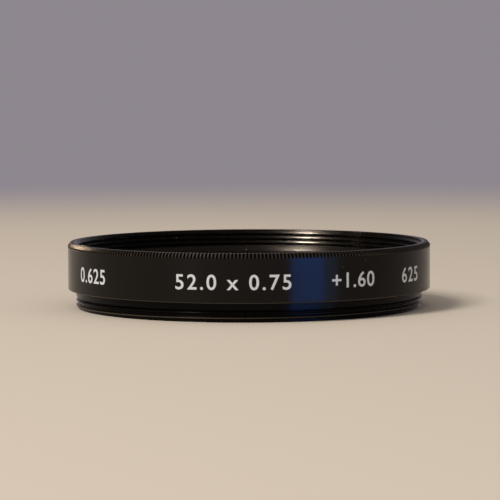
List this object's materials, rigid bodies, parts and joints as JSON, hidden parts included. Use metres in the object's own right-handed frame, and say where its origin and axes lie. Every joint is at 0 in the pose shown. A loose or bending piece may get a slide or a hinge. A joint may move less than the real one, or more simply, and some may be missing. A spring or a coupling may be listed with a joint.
{
  "type": "screw-in achromatic doublet lens",
  "caption": "Cemented crown and flint doublet held by a retaining ring in a low black threaded ring with a notched rim.",
  "frame": {"origin": "middle of the rear face of the mount ring, on which the lens lies", "axes": "+Z along the optical axis, from the male thread at the rear to the female thread at the front; +X through one spanner slot of the retaining ring"},
  "size_m": [0.0544, 0.0544, 0.0098],
  "materials": {
    "black_anodised": "satin",
    "crown_glass": "polished",
    "flint_glass": "polished"
  },
  "bodies": {
    "root": {"mount_ring": "black_anodised", "retaining_ring": "black_anodised", "crown_element": "crown_glass", "flint_element": "flint_glass"}
  },
  "joints": []
}
